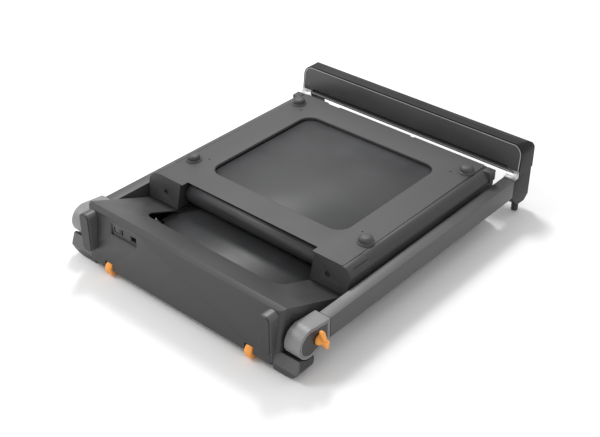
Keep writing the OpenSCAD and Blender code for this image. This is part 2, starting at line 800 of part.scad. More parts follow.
module post(side)
    color("#3f4245") sided(side) difference() {
        bar(x_post_in, x_post_out, y_post, y_post_end, post_z, z_post_top);
        bar(x_post_in + post_wall, x_post_out - post_wall, y_post - 1, y_post_end + 1,
            post_z + post_wall, z_post_top - post_wall);
    }

module housing_outline(w) {
    translate([y_pivot, z_pivot]) circle(housing_r - w);
    polygon([[y_pivot, z_pivot - housing_r + w], [y_post - w, post_z - 1 + w],
             [y_post - w, z_post_top + 1 - w], [y_pivot, z_pivot + housing_r - w]]);
}

cover_edge = 5;
cover_t = 3;
z_knob = z_pivot - 2;
module pivot_housing(side)
    color("#85898d") sided(side) difference() {
        union() {
            along_x(housing_x0(side), housing_x1(side)) housing_outline(0);
            bar(x_post_in + post_wall + 0.1, x_post_out - post_wall - 0.1, y_post - eps, y_post + 40,
                post_z + post_wall + 0.1, z_post_top - post_wall - 0.1);
        }
        along_x(housing_x1(side) - cover_t, housing_x1(side) + 1) housing_outline(cover_edge);
        rod_x(housing_x0(side) - 1, x_post_out - 4, y_pivot, z_pivot, stub_r + shaft_clear);
        rod_x(housing_x1(side) - 20, housing_x1(side) + 1, y_pivot + knob_off, z_knob, 5.1);
    }

module pivot_cover(side)
    color("#4e5154") sided(side) difference() {
        along_x(housing_x1(side) - cover_t, housing_x1(side) - 0.6) housing_outline(cover_edge + 0.2);
        rod_x(housing_x1(side) - cover_t - 1, housing_x1(side) + 1, y_pivot + knob_off, z_knob, 5.6);
    }

y_beam = y_post_end + beam_set;
z_beam_top = beam_z + beam_h;
module beam_outline(w)
    polygon([[y_beam + w, beam_z + w], [y_beam + beam_lean + w, z_beam_top - w],
             [y_back - 14, z_beam_top - 6 - w], [y_back - 4 - w * 0.7, z_beam_top - 12 - w * 0.7],
             [y_back - w, z_beam_top - 22], [y_back - w, beam_z + w]]);

leg_in = 4;
module leg_outline(w)
    polygon([[y_post_end + w, post_z - 4 + w * 0.6], [y_post_end + 30, leg_z + w],
             [y_back - 22, leg_z - 2 + w], [y_back - 5 - w, leg_z + 12],
             [y_back - 5 - w, beam_z + 1], [y_back - 5 - w, beam_z + 6 - w],
             [y_beam + 2, beam_z + 6 - w], [y_beam + 2, z_post_top - w],
             [y_post_end + w, z_post_top - w]]);

module end_mask(w)
    along_y(y_post_end - 30, y_back + 10)
        round_rect(-x_post_out + w, x_post_out - w, leg_z - 60, z_beam_top - w, beam_corner_r - w);

module console_shell() {
    color("#303235") difference() {
        union() {
            intersection() {
                along_x(-x_post_out, x_post_out) beam_outline(0);
                end_mask(0);
            }
            both_sides() along_x(x_post_in, x_post_out) leg_outline(0);
            both_sides() bar(x_post_in + post_wall + 0.1, x_post_out - post_wall - 0.1,
                             y_post_end - 30, y_post_end + 3,
                             post_z + post_wall + 0.1, z_post_top - post_wall - 0.1);
        }
        intersection() {
            along_x(-x_post_out, x_post_out) beam_outline(console_wall);
            end_mask(console_wall);
        }
        intersection() {
            translate([0, -console_wall - 1, 0]) along_x(-x_post_out, x_post_out) beam_outline(console_wall);
            end_mask(console_wall);
        }
        both_sides() bar(x_post_in + leg_in, x_post_out - leg_in, y_post_end + 4, y_back - 10,
                         post_z, beam_z - 3);
        both_sides() rod_z(console_foot_x, y_post_end + 48, leg_z - 3, leg_z + 10, 4);
    }
}

module rod_z(x, y, z0, z1, r)
    translate([x, y, z0]) cylinder(h = z1 - z0, r = r);

slot_z = beam_z + 8;
module console_panel() {
    color("#4c4f53") difference() {
        intersection() {
            along_x(-x_post_out, x_post_out) polygon([
                [y_beam + console_wall * beam_lean / beam_h, beam_z + console_wall],
                [y_beam + beam_lean, z_beam_top - console_wall - 0.8],
                [y_beam + beam_lean + 4, z_beam_top - console_wall - 0.8],
                [y_beam + 4, slot_z + phone_slot_h + 3],
                [y_beam + phone_slot_d + 3, slot_z + phone_slot_h + 3],
                [y_beam + phone_slot_d + 3, beam_z + console_wall]]);
            end_mask(console_wall + 0.3);
        }
        bar(-x_post_out + 36, x_post_out - 36, y_beam - 2, y_beam + phone_slot_d,
            slot_z, slot_z + phone_slot_h);
    }
}

bracket_fillet = 18;
module console_brackets()
    color("#a9adb0") both_sides() {
        difference() {
            bar(x_post_in, x_post_out, y_post_end + 0.2, y_beam - 0.3,
                z_post_top, z_post_top + bracket_fillet);
            rod_x(x_post_in - 1, x_post_out + 1, y_post_end, z_post_top + bracket_fillet + 1,
                  bracket_fillet - 0.5);
        }
        rod_y(y_beam - 3.5, y_beam - 0.3, (x_post_in + x_post_out) / 2, z_post_top + 13, 3);
    }

console_foot_x = x_post_out - post_w / 2;
module console_feet()
    color("#1d1e20") both_sides() {
        rod_z(console_foot_x, y_post_end + 48, leg_z - 3, leg_z + 8, 4);
        translate([console_foot_x, y_post_end + 48, leg_z - 3]) mirror([0, 0, 1])
            foot(leg_z - 3.6, 11);
    }

// Both knobs end in the same plane, so the one on the left, on the wider side of its housing, is
// shorter. The left wing rests nearly level and the right one nearly upright.
wing_t = 11;
module wing_knob(side) {
    reach = x_post_out + knob_reach - housing_x1(side);
    wing_d = reach > 20 ? 12 : 8;
    color("#f28c28") sided(side) translate([housing_x1(side), y_pivot + knob_off, z_knob])
        rotate([0, 90, 0]) {
            translate([0, 0, -16]) cylinder(h = 17, r = 5);
            translate([0, 0, 0.4]) cylinder(h = reach * 0.35, r = 11);
            translate([0, 0, 0.4]) cylinder(h = reach - 0.4, r = 6.5);
            rotate([0, 0, side > 0 ? 17 : 68]) translate([0, 0, reach - wing_d - 3])
                linear_extrude(height = wing_d)
                    round_rect(-knob_wing / 2, knob_wing / 2, -wing_t / 2, wing_t / 2, wing_t / 2 - 0.1);
        }
}

front_pan();
front_side_rail(-1);  // front_side_rail_left
front_side_rail(1);  // front_side_rail_right
front_running_board();
front_cross_tubes();
front_feet();
front_belt();
motor_hood();
hood_screws();
power_panel();
power_inlet();
rocker_switch();
bumper(-1);  // bumper_left
bumper(1);  // bumper_right
bumper_pad(-1);  // bumper_pad_left
bumper_pad(1);  // bumper_pad_right
corner_foot(-1);  // corner_foot_left
corner_foot(1);  // corner_foot_right
pivot_bracket(-1);  // pivot_bracket_left
pivot_bracket(1);  // pivot_bracket_right
transport_wheel(-1);  // transport_wheel_left
transport_wheel(1);  // transport_wheel_right
wheel_axles();
front_roller();
front_roller_axle();
motor();
motor_pulley();
drive_belt();
motor_controller();
front_hinge_brackets();
lower_hinge_pins();
hinge_link(-1);  // hinge_link_left
hinge_link(1);  // hinge_link_right
upper_hinge_pins();
fold_belt();
rear_pan();
rear_side_rail(-1);  // rear_side_rail_left
rear_side_rail(1);  // rear_side_rail_right
rear_running_board();
rear_cross_tubes();
rear_feet();
rear_belt();
rear_roller();
rear_roller_axle();
end_cap(-1);  // end_cap_left
end_cap(1);  // end_cap_right
belt_tension_bolts();
rear_hinge_brackets();
post(-1);  // post_left
post(1);  // post_right
pivot_housing(-1);  // pivot_housing_left
pivot_housing(1);  // pivot_housing_right
pivot_cover(-1);  // pivot_cover_left
pivot_cover(1);  // pivot_cover_right
console_shell();
console_panel();
console_brackets();
console_feet();
wing_knob(-1);  // wing_knob_left
wing_knob(1);  // wing_knob_right
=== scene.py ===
"""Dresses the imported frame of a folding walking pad: finishes, rounded casings, small fittings."""

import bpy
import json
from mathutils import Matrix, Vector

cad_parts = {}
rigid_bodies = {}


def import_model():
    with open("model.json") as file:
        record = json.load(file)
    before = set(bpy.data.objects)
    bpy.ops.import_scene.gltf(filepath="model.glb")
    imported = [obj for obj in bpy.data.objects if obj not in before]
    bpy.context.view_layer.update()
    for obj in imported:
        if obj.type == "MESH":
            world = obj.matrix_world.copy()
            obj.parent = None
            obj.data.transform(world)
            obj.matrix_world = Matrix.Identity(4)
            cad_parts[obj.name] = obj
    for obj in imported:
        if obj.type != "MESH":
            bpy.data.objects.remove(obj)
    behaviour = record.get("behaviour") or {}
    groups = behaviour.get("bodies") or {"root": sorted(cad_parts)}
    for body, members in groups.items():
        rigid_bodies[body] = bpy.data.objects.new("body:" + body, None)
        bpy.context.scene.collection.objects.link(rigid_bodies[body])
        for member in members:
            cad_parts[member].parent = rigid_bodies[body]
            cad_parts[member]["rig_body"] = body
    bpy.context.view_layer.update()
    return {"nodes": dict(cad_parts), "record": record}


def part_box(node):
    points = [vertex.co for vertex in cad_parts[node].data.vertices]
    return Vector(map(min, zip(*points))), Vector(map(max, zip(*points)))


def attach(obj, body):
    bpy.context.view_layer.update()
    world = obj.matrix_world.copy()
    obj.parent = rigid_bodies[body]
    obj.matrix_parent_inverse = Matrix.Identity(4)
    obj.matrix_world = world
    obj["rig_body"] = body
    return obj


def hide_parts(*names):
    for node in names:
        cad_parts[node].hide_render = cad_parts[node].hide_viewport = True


bl_info = {
    "name": "Folding walking pad",
    "version": (1, 0, 0),
    "blender": (4, 5, 0),
    "location": "3D View > Sidebar > Walking pad",
    "description": "Dresses the frame of a folding walking pad",
    "category": "Object",
}

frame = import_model()

import json
import math

import bmesh
import bpy
from bpy.props import FloatProperty, FloatVectorProperty, PointerProperty
from mathutils import Vector

# The hood's face: how far it leans back for each metre of height, and the height of its lower edge
FACE_LEAN = 0.136
FACE_LOW = 0.0225

# Bands in which the lighter front facet of a corner foot begins, in height and along the pad: a
# painted highlight where light falls on the facet, with the rest of the foot darker as painted shade
LIT_FACET_HEIGHT = (0.0262, 0.0282)
LIT_FACET_DEPTH = (-0.4372, -0.4388)

# Hood side screws
SCREW_RADIUS = 0.005
SCREW_RISE = 0.0016

# Rest angle of the power rocker
ROCKER_TILT = math.radians(-7)

# Rubber feet: radius of those on the rear pan and of those under the front pan
REAR_FOOT_RADIUS = 0.021
FRONT_FOOT_RADIUS = 0.020

# Camera, as fitted to the photo
CAMERA_AZIMUTH = math.radians(41.079)
CAMERA_ELEVATION = math.radians(33.735)
CAMERA_TARGET = Vector((-0.1533, 0.1508, -0.1064))
CAMERA_DISTANCE = 2.9551
SENSOR_WIDTH = 36.0
FOCAL_PIXELS = 1072.65
PICTURE_PIXELS = 600


# Sizes and colours that a user may change

class WalkingPadSizes(bpy.types.PropertyGroup):
    casing_round: FloatProperty(
        name="Casing edge", description="Radius of the moulded casings' edges",
        default=0.0022, min=0.0003, max=0.006, unit="LENGTH")
    pad_round: FloatProperty(
        name="Pad edge", description="Radius of the rubber bumper pads' edges",
        default=0.0018, min=0.0005, max=0.0024, unit="LENGTH")
    rim_drop: FloatProperty(
        name="Rim drop", description="Depth of the rolled rim round the pan's window",
        default=0.0058, min=0.002, max=0.007, unit="LENGTH")
    knob_wing: FloatProperty(
        name="Knob wing", description="Length of a wing knob from tip to tip",
        default=0.058, min=0.04, max=0.062, unit="LENGTH")


class WalkingPadColours(bpy.types.PropertyGroup):
    casing: FloatVectorProperty(
        name="Casing", description="Moulded hood and end caps", subtype="COLOR",
        size=3, default=(0.036, 0.036, 0.0365), min=0.0, max=1.0)
    pan: FloatVectorProperty(
        name="Pan", description="Powder coat of the sheet pan", subtype="COLOR",
        size=3, default=(0.04144, 0.04144, 0.04218), min=0.0, max=1.0)
    post: FloatVectorProperty(
        name="Post", description="Paint of the handrail posts", subtype="COLOR",
        size=3, default=(0.0629, 0.0629, 0.06438), min=0.0, max=1.0)
    housing: FloatVectorProperty(
        name="Housing", description="Metallic paint of the pivot housings", subtype="COLOR",
        size=3, default=(0.2309, 0.2309, 0.2337), min=0.0, max=1.0)
    accent: FloatVectorProperty(
        name="Accent", description="Orange wheels and knobs", subtype="COLOR",
        size=3, default=(0.86, 0.3, 0.035), min=0.0, max=1.0)


def sizes():
    return bpy.context.scene.walking_pad_sizes


def colours():
    return bpy.context.scene.walking_pad_colours


# Materials

def new_material(name):
    found = bpy.data.materials.get(name)
    if found:
        return found, None, None
    material = bpy.data.materials.new(name)
    material.use_nodes = True
    tree = material.node_tree
    shader = tree.nodes["Principled BSDF"]
    return material, tree, shader


def object_coordinates(tree, scale=(1, 1, 1)):
    coordinates = tree.nodes.new("ShaderNodeTexCoord")
    mapping = tree.nodes.new("ShaderNodeMapping")
    mapping.inputs["Scale"].default_value = scale
    tree.links.new(coordinates.outputs["Object"], mapping.inputs["Vector"])
    return mapping.outputs["Vector"]


def noise(tree, vector, scale, detail=3.0, roughness=0.55):
    node = tree.nodes.new("ShaderNodeTexNoise")
    node.inputs["Scale"].default_value = scale
    node.inputs["Detail"].default_value = detail
    node.inputs["Roughness"].default_value = roughness
    tree.links.new(vector, node.inputs["Vector"])
    return node.outputs["Fac"]


def tinted(tree, factor, low, high):
    ramp = tree.nodes.new("ShaderNodeValToRGB")
    ramp.color_ramp.elements[0].position = 0.32
    ramp.color_ramp.elements[1].position = 0.68
    ramp.color_ramp.elements[0].color = (*low, 1)
    ramp.color_ramp.elements[1].color = (*high, 1)
    tree.links.new(factor, ramp.inputs["Fac"])
    return ramp.outputs["Color"]


def ranged(tree, factor, low, high):
    node = tree.nodes.new("ShaderNodeMapRange")
    node.inputs["From Min"].default_value = 0.3
    node.inputs["From Max"].default_value = 0.7
    node.inputs["To Min"].default_value = low
    node.inputs["To Max"].default_value = high
    tree.links.new(factor, node.inputs["Value"])
    return node.outputs["Result"]


def bumped(tree, shader, height, distance, strength=1.0):
    bump = tree.nodes.new("ShaderNodeBump")
    bump.inputs["Strength"].default_value = strength
    bump.inputs["Distance"].default_value = distance
    tree.links.new(height, bump.inputs["Height"])
    tree.links.new(bump.outputs["Normal"], shader.inputs["Normal"])


def scaled_colour(colour, factor):
    return tuple(min(1.0, c * factor) for c in colour)


def grained(name, colour, roughness=(0.42, 0.56), grain=900.0, depth=0.00005, cloud=7.0,
            metallic=0.0, spread=0.10, specular=0.5):
    """A painted, moulded or rubber surface: fine grain, slow cloud of tone, uneven gloss."""
    material, tree, shader = new_material(name)
    if tree is None:
        return material
    vector = object_coordinates(tree)
    slow = noise(tree, vector, cloud, 4.0)
    fine = noise(tree, vector, grain, 2.0, 0.6)
    tone = tinted(tree, slow, scaled_colour(colour, 1 - spread), scaled_colour(colour, 1 + spread))
    tree.links.new(tone, shader.inputs["Base Color"])
    tree.links.new(ranged(tree, slow, *roughness), shader.inputs["Roughness"])
    shader.inputs["Metallic"].default_value = metallic
    shader.inputs["Specular IOR Level"].default_value = specular
    bumped(tree, shader, fine, depth)
    return material


def turned_metal(name, colour, roughness=(0.22, 0.36), stretch=(4, 900, 900)):
    """Bare metal with fine machining lines along one axis."""
    material, tree, shader = new_material(name)
    if tree is None:
        return material
    lines = noise(tree, object_coordinates(tree, stretch), 1.0, 2.0)
    tree.links.new(tinted(tree, lines, scaled_colour(colour, 0.85), scaled_colour(colour, 1.12)),
                   shader.inputs["Base Color"])
    tree.links.new(ranged(tree, lines, *roughness), shader.inputs["Roughness"])
    shader.inputs["Metallic"].default_value = 1.0
    bumped(tree, shader, lines, 0.00003)
    return material


def belt_material():
    """Walking belt: a fine diamond emboss over dark rubber."""
    material, tree, shader = new_material("walking_belt")
    if tree is None:
        return material
    vector = object_coordinates(tree)
    waves = []
    for turn in (45, -45):
        mapping = tree.nodes.new("ShaderNodeMapping")
        mapping.inputs["Rotation"].default_value = (0, 0, math.radians(turn))
        tree.links.new(vector, mapping.inputs["Vector"])
        wave = tree.nodes.new("ShaderNodeTexWave")
        wave.inputs["Scale"].default_value = 130.0
        wave.inputs["Distortion"].default_value = 0.0
        tree.links.new(mapping.outputs["Vector"], wave.inputs["Vector"])
        waves.append(wave.outputs["Fac"])
    both = tree.nodes.new("ShaderNodeMath")
    both.operation = "MULTIPLY"
    tree.links.new(waves[0], both.inputs[0])
    tree.links.new(waves[1], both.inputs[1])
    slow = noise(tree, vector, 9.0, 4.0)
    tree.links.new(tinted(tree, slow, (0.0296, 0.03034, 0.03182), (0.03848, 0.03922, 0.04144)),
                   shader.inputs["Base Color"])
    tree.links.new(ranged(tree, slow, 0.4, 0.5), shader.inputs["Roughness"])
    bumped(tree, shader, both.outputs["Value"], 0.00008, 0.5)
    return material


def fibreboard():
    material, tree, shader = new_material("fibreboard")
    if tree is None:
        return material
    fibres = noise(tree, object_coordinates(tree, (60, 8, 200)), 3.0, 6.0)
    tree.links.new(tinted(tree, fibres, (0.026, 0.023, 0.021), (0.055, 0.047, 0.042)),
                   shader.inputs["Base Color"])
    tree.links.new(ranged(tree, fibres, 0.6, 0.8), shader.inputs["Roughness"])
    bumped(tree, shader, fibres, 0.0002)
    return material


def casing():
    return grained("moulded_casing", tuple(colours().casing), (0.40, 0.52), 1100.0, 0.00004)


def cap_plastic():
    return grained("cap_plastic", scaled_colour(colours().casing, 0.95), (0.42, 0.55), 1000.0,
                   0.00004)


def pan_coat():
    return grained("pan_coat", tuple(colours().pan), (0.46, 0.58), 1500.0, 0.00003, 5.0,
                   spread=0.06)


def rail_coat():
    return grained("rail_coat", scaled_colour(colours().pan, 0.85), (0.38, 0.5), 1400.0, 0.00003,
                   6.0)


def post_coat():
    return grained("post_coat", tuple(colours().post), (0.36, 0.48), 1600.0, 0.00003, 5.0)


def housing_paint():
    return grained("housing_paint", tuple(colours().housing), (0.46, 0.56), 2200.0, 0.00002, 8.0,
                   metallic=0.35)


def cover_plastic():
    return grained("cover_plastic", (0.036, 0.036, 0.037), (0.38, 0.5), 1500.0, 0.00003)


def console_plastic():
    return grained("console_plastic", (0.01, 0.01, 0.0105), (0.42, 0.55), 1300.0, 0.00004,
                   specular=0.22)


def console_face():
    return grained("console_face", (0.0518, 0.0518, 0.05328), (0.40, 0.52), 1300.0, 0.00004)


def bumper_plastic():
    return grained("bumper_plastic", (0.075, 0.075, 0.0765), (0.36, 0.48), 1200.0, 0.00003)


def pad_plastic():
    return grained("pad_plastic", (0.016, 0.016, 0.0166), (0.36, 0.48), 1000.0, 0.00004)


def rocker_plastic():
    return grained("rocker_plastic", (0.045, 0.046, 0.049), (0.25, 0.36), 1200.0, 0.00002)


def corner_painted_light():
    """Corner foot: a lighter front facet as painted light where light falls on it, over a darker
    body and sole as painted shade.
    """
    # Colour of the painted highlight on the lit front facet
    light = (0.085, 0.085, 0.087)
    material, tree, shader = new_material("corner_painted_light")
    if tree is None:
        return material
    vector = object_coordinates(tree)
    slow = noise(tree, vector, 8.0, 4.0)
    parts = tree.nodes.new("ShaderNodeSeparateXYZ")
    tree.links.new(vector, parts.inputs["Vector"])
    lit_facet_mask = tree.nodes.new("ShaderNodeMath")
    lit_facet_mask.operation = "MULTIPLY"
    for slot, (letter, band) in enumerate((("Z", LIT_FACET_HEIGHT), ("Y", LIT_FACET_DEPTH))):
        step = tree.nodes.new("ShaderNodeMapRange")
        step.inputs["From Min"].default_value, step.inputs["From Max"].default_value = band
        tree.links.new(parts.outputs[letter], step.inputs["Value"])
        tree.links.new(step.outputs["Result"], lit_facet_mask.inputs[slot])
    tone = tree.nodes.new("ShaderNodeMix")
    tone.data_type = "RGBA"
    tree.links.new(lit_facet_mask.outputs["Value"], tone.inputs["Factor"])
    tree.links.new(tinted(tree, slow, (0.016, 0.016, 0.017), (0.024, 0.024, 0.025)),
                   tone.inputs["A"])
    tree.links.new(tinted(tree, slow, scaled_colour(light, 0.9), scaled_colour(light, 1.1)),
                   tone.inputs["B"])
    tree.links.new(tone.outputs["Result"], shader.inputs["Base Color"])
    tree.links.new(ranged(tree, slow, 0.36, 0.48), shader.inputs["Roughness"])
    bumped(tree, shader, noise(tree, vector, 1300.0, 2.0, 0.6), 0.00003)
    return material


# Light grey for thin rims along edges: a painted highlight standing in for light caught by the edge
def painted_highlight_edge():
    return grained("painted_highlight_edge", (0.42, 0.42, 0.425), (0.35, 0.45), 1500.0, 0.00002)


def black_rubber():
    return grained("black_rubber", (0.035, 0.035, 0.037), (0.55, 0.7), 700.0, 0.00007)


def foot_rubber():
    return grained("foot_rubber", (0.04588, 0.04662, 0.04884), (0.42, 0.56), 800.0, 0.00005)


def orange_plastic():
    return grained("orange_plastic", tuple(colours().accent), (0.34, 0.46), 900.0, 0.00004, 12.0,
                   spread=0.06)


def black_plastic():
    return grained("black_plastic", (0.018, 0.018, 0.02), (0.2, 0.32), 900.0, 0.00002)


def dark_steel():
    return grained("dark_steel", (0.03, 0.031, 0.033), (0.3, 0.42), 1500.0, 0.00002, metallic=0.6)


def steel():
    return turned_metal("turned_steel", (0.56, 0.57, 0.58))


def zinc():
    return turned_metal("zinc_plate", (0.50, 0.51, 0.52), (0.3, 0.45), (300, 300, 300))


def circuit_board():
    return grained("circuit_board", (0.03, 0.11, 0.06), (0.3, 0.5), 400.0, 0.0001)


# Mesh helpers

def add_mesh(name, bm, material, body, slot, *nodes):
    mesh = bpy.data.meshes.new(name)
    bm.to_mesh(mesh)
    bm.free()
    piece = bpy.data.objects.new(name, mesh)
    bpy.context.scene.collection.objects.link(piece)
    mesh.materials.append(material)
    for polygon in mesh.polygons:
        polygon.use_smooth = True
    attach(piece, body)
    if nodes:
        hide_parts(*nodes)
    return piece


def body_of(node):
    return frame["nodes"][node]["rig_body"]


def slot_of(node):
    for entry in frame["record"]["subparts"]:
        if entry["node"] == node:
            return entry["material_slot"]
    raise ValueError(f"no sub-part named {node}")


def merged(node):
    """The node's mesh as clean faces: flat regions become single faces."""
    bm = bmesh.new()
    bm.from_mesh(frame["nodes"][node].data)
    bmesh.ops.remove_doubles(bm, verts=bm.verts, dist=2e-6)
    bmesh.ops.dissolve_limit(bm, angle_limit=math.radians(0.6), verts=bm.verts, edges=bm.edges)
    return bm


def round_edges(piece, width, segments=3, angle=28.0):
    bevel = piece.modifiers.new("edge", "BEVEL")
    bevel.width = width
    bevel.segments = segments
    bevel.limit_method = "ANGLE"
    bevel.angle_limit = math.radians(angle)
    bevel.use_clamp_overlap = True
    bevel.harden_normals = True
    bevel.miter_outer = "MITER_ARC"


def softened(node, material, width, segments=3, angle=28.0):
    """A copy of a node with rounded edges, which stands for it."""
    piece = add_mesh(node + "_skin", merged(node), material, body_of(node), slot_of(node), node)
    round_edges(piece, width, segments, angle)


def sharp_by_angle(piece, degrees):
    """Smooth shading that keeps edges over the angle crisp."""
    bm = bmesh.new()
    bm.from_mesh(piece.data)
    for edge in bm.edges:
        if len(edge.link_faces) == 2 and edge.calc_face_angle() > math.radians(degrees):
            edge.smooth = False
    bm.to_mesh(piece.data)
    bm.free()


def face_rim(node, direction, inset, width, lift, material, name):
    """A thin raised rim along the outer edge of the largest flat side towards a direction."""
    bm = merged(node)
    faces = [f for f in bm.faces if f.normal.dot(direction) > 0.9]
    normal = max(faces, key=lambda f: f.calc_area()).normal.copy()
    level = max(f.calc_center_median().dot(normal) for f in faces if f.normal.dot(normal) > 0.999)
    flat = {f for f in faces if f.normal.dot(normal) > 0.999
            and abs(f.calc_center_median().dot(normal) - level) < 2e-4}
    following = {}
    for face in flat:
        for loop in face.loops:
            if not any(other in flat and other is not face for other in loop.edge.link_faces):
                following[loop.vert] = loop.link_loop_next.vert
    loops = []
    while following:
        start, here = following.popitem()
        loop = [start]
        while here is not start and here in following:
            loop.append(here)
            here = following.pop(here)
        loops.append([vert.co.copy() for vert in loop])
    points = max(loops, key=lambda loop: sum((a - b).length for a, b in zip(loop, loop[1:])))
    bm.free()
    rings = []
    for inward, up in ((inset, -0.0004), (inset, lift),
                       (inset + width, lift), (inset + width, -0.0004)):
        ring = []
        for k, point in enumerate(points):
            before = (point - points[k - 1]).normalized()
            after = (points[(k + 1) % len(points)] - point).normalized()
            first, second = normal.cross(before), normal.cross(after)
            ring.append(point + (first + second) / (1 + first.dot(second)) * inward + normal * up)
        rings.append(ring)
    bm = bmesh.new()
    bridge(bm, rings)
    piece = add_mesh(name, bm, material, body_of(node), slot_of(node))
    sharp_by_angle(piece, 40)


def dress(node, material):
    """Gives a CAD node its finish."""
    data = frame["nodes"][node].data
    data.materials.clear()
    data.materials.append(material)


def lathe(bm, profile, centre, axis, steps=48):
    """Spins (radius, along) points round an axis through centre."""
    axis = Vector(axis).normalized()
    side = axis.orthogonal().normalized()
    other = axis.cross(side)
    rings = []
    for radius, along in profile:
        if radius < 1e-7:
            rings.append([bm.verts.new(centre + axis * along)])
            continue
        rings.append([
            bm.verts.new(centre + axis * along
                         + side * (radius * math.cos(2 * math.pi * k / steps))
                         + other * (radius * math.sin(2 * math.pi * k / steps)))
            for k in range(steps)])
    for low, high in zip(rings, rings[1:]):
        for k in range(steps):
            n = (k + 1) % steps
            corners = [low[k % len(low)], low[n % len(low)],
                       high[n % len(high)], high[k % len(high)]]
            corners = [v for i, v in enumerate(corners) if v not in corners[:i]]
            if len(corners) > 2:
                bm.faces.new(corners)


def rounded_ring(half_x, y0, y1, radius, z, per_corner=12):
    """Points of a rounded rectangle at height z, anticlockwise."""
    points = []
    for cx, cy, start in ((half_x - radius, y1 - radius, 0), (-half_x + radius, y1 - radius, 90),
                          (-half_x + radius, y0 + radius, 180),
                          (half_x - radius, y0 + radius, 270)):
        for k in range(per_corner + 1):
            a = math.radians(start + 90 * k / per_corner)
            points.append(Vector((cx + radius * math.cos(a), cy + radius * math.sin(a), z)))
    return points


def bridge(bm, rings, caps=False):
    """Joins closed rings of points in their order; caps closes the first and the last."""
    rows = [[bm.verts.new(p) for p in ring] for ring in rings]
    for low, high in zip(rows, rows[1:]):
        join_rows(bm, low, high)
    if caps:
        bm.faces.new(rows[0])
        bm.faces.new(rows[-1])
    bmesh.ops.recalc_face_normals(bm, faces=bm.faces)


def outline_ring(low, high, radius, inset, y, per_corner=10):
    """A rounded rectangle in the upright plane at y, drawn in by inset."""
    x0, z0 = low[0] + inset, low[1] + inset
    x1, z1 = high[0] - inset, high[1] - inset
    r = max(radius - inset, 0.0006)
    points = []
    for cx, cz, start in ((x1 - r, z1 - r, 0), (x0 + r, z1 - r, 90),
                          (x0 + r, z0 + r, 180), (x1 - r, z0 + r, 270)):
        for k in range(per_corner + 1):
            a = math.radians(start + 90 * k / per_corner)
            points.append(Vector((cx + r * math.cos(a), y, cz + r * math.sin(a))))
    return points


def flat_sheet(bm, loops, z, up):
    """Fills the area between an outer loop and the holes in it at height z."""
    edges = []
    rows = []
    for loop in loops:
        verts = [bm.verts.new((p[0], p[1], z)) for p in loop]
        rows.append(verts)
        edges += [bm.edges.new((verts[k], verts[(k + 1) % len(verts)])) for k in range(len(verts))]
    bmesh.ops.triangle_fill(bm, use_beauty=True, use_dissolve=False, edges=edges, normal=(0, 0, up))
    return rows


def join_rows(bm, low, high):
    for k in range(len(low)):
        n = (k + 1) % len(low)
        bm.faces.new((low[k], low[n], high[n], high[k]))


def circle_points(x, y, r, steps=20):
    return [(x + r * math.cos(2 * math.pi * k / steps), y + r * math.sin(2 * math.pi * k / steps))
            for k in range(steps)]


def screw_head(bm, centre, axis, radius, height):
    """A domed screw head with a round socket, rising from centre along axis."""
    r, h = radius, height
    profile = [(r * 0.96, 0.0), (r, h * 0.25), (r * 0.96, h * 0.6), (r * 0.8, h * 0.9),
               (r * 0.56, h), (r * 0.5, h * 0.9), (r * 0.46, h * 0.25), (0.0, h * 0.2)]
    lathe(bm, profile, centre, axis, 36)


def face_line(z):
    """Place along the pad of the hood's leaning face at height z."""
    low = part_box("motor_hood")[0]
    return low.y + (z - FACE_LOW) * FACE_LEAN


# Motor half

class PAD_OT_hood(bpy.types.Operator):
    """Moulded motor hood with rounded edges, and its side screws"""
    bl_idname = "walking_pad.hood"
    bl_label = "Motor hood"

    def execute(self, context):
        softened("motor_hood", casing(), sizes().casing_round, 4, 20)
        low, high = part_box("hood_screws")
        bm = bmesh.new()
        reach = SCREW_RADIUS
        for sign in (-1, 1):
            wall = (high.x - SCREW_RISE) * sign
            for y, z in ((low.y + reach, low.z + reach), (high.y - reach, high.z - reach)):
                centre = Vector((wall, y, z))
                lathe(bm, [(0.0084, -0.0004), (0.0082, 0.0004), (0.0072, 0.0008), (0.0058, 0.0002)],
                      centre, (sign, 0, 0), 40)
                screw_head(bm, centre, (sign, 0, 0), SCREW_RADIUS, SCREW_RISE)
                lathe(bm, [(0.0, -0.009), (0.003, -0.009), (0.003, 0.0)], centre, (sign, 0, 0), 24)
        piece = add_mesh("hood_side_screws", bm, dark_steel(), "base", slot_of("hood_screws"),
                         "hood_screws")
        sharp_by_angle(piece, 40)
        for side in ("left", "right"):
            softened(f"corner_foot_{side}", corner_painted_light(), sizes().casing_round * 0.8, 3)
        return {"FINISHED"}


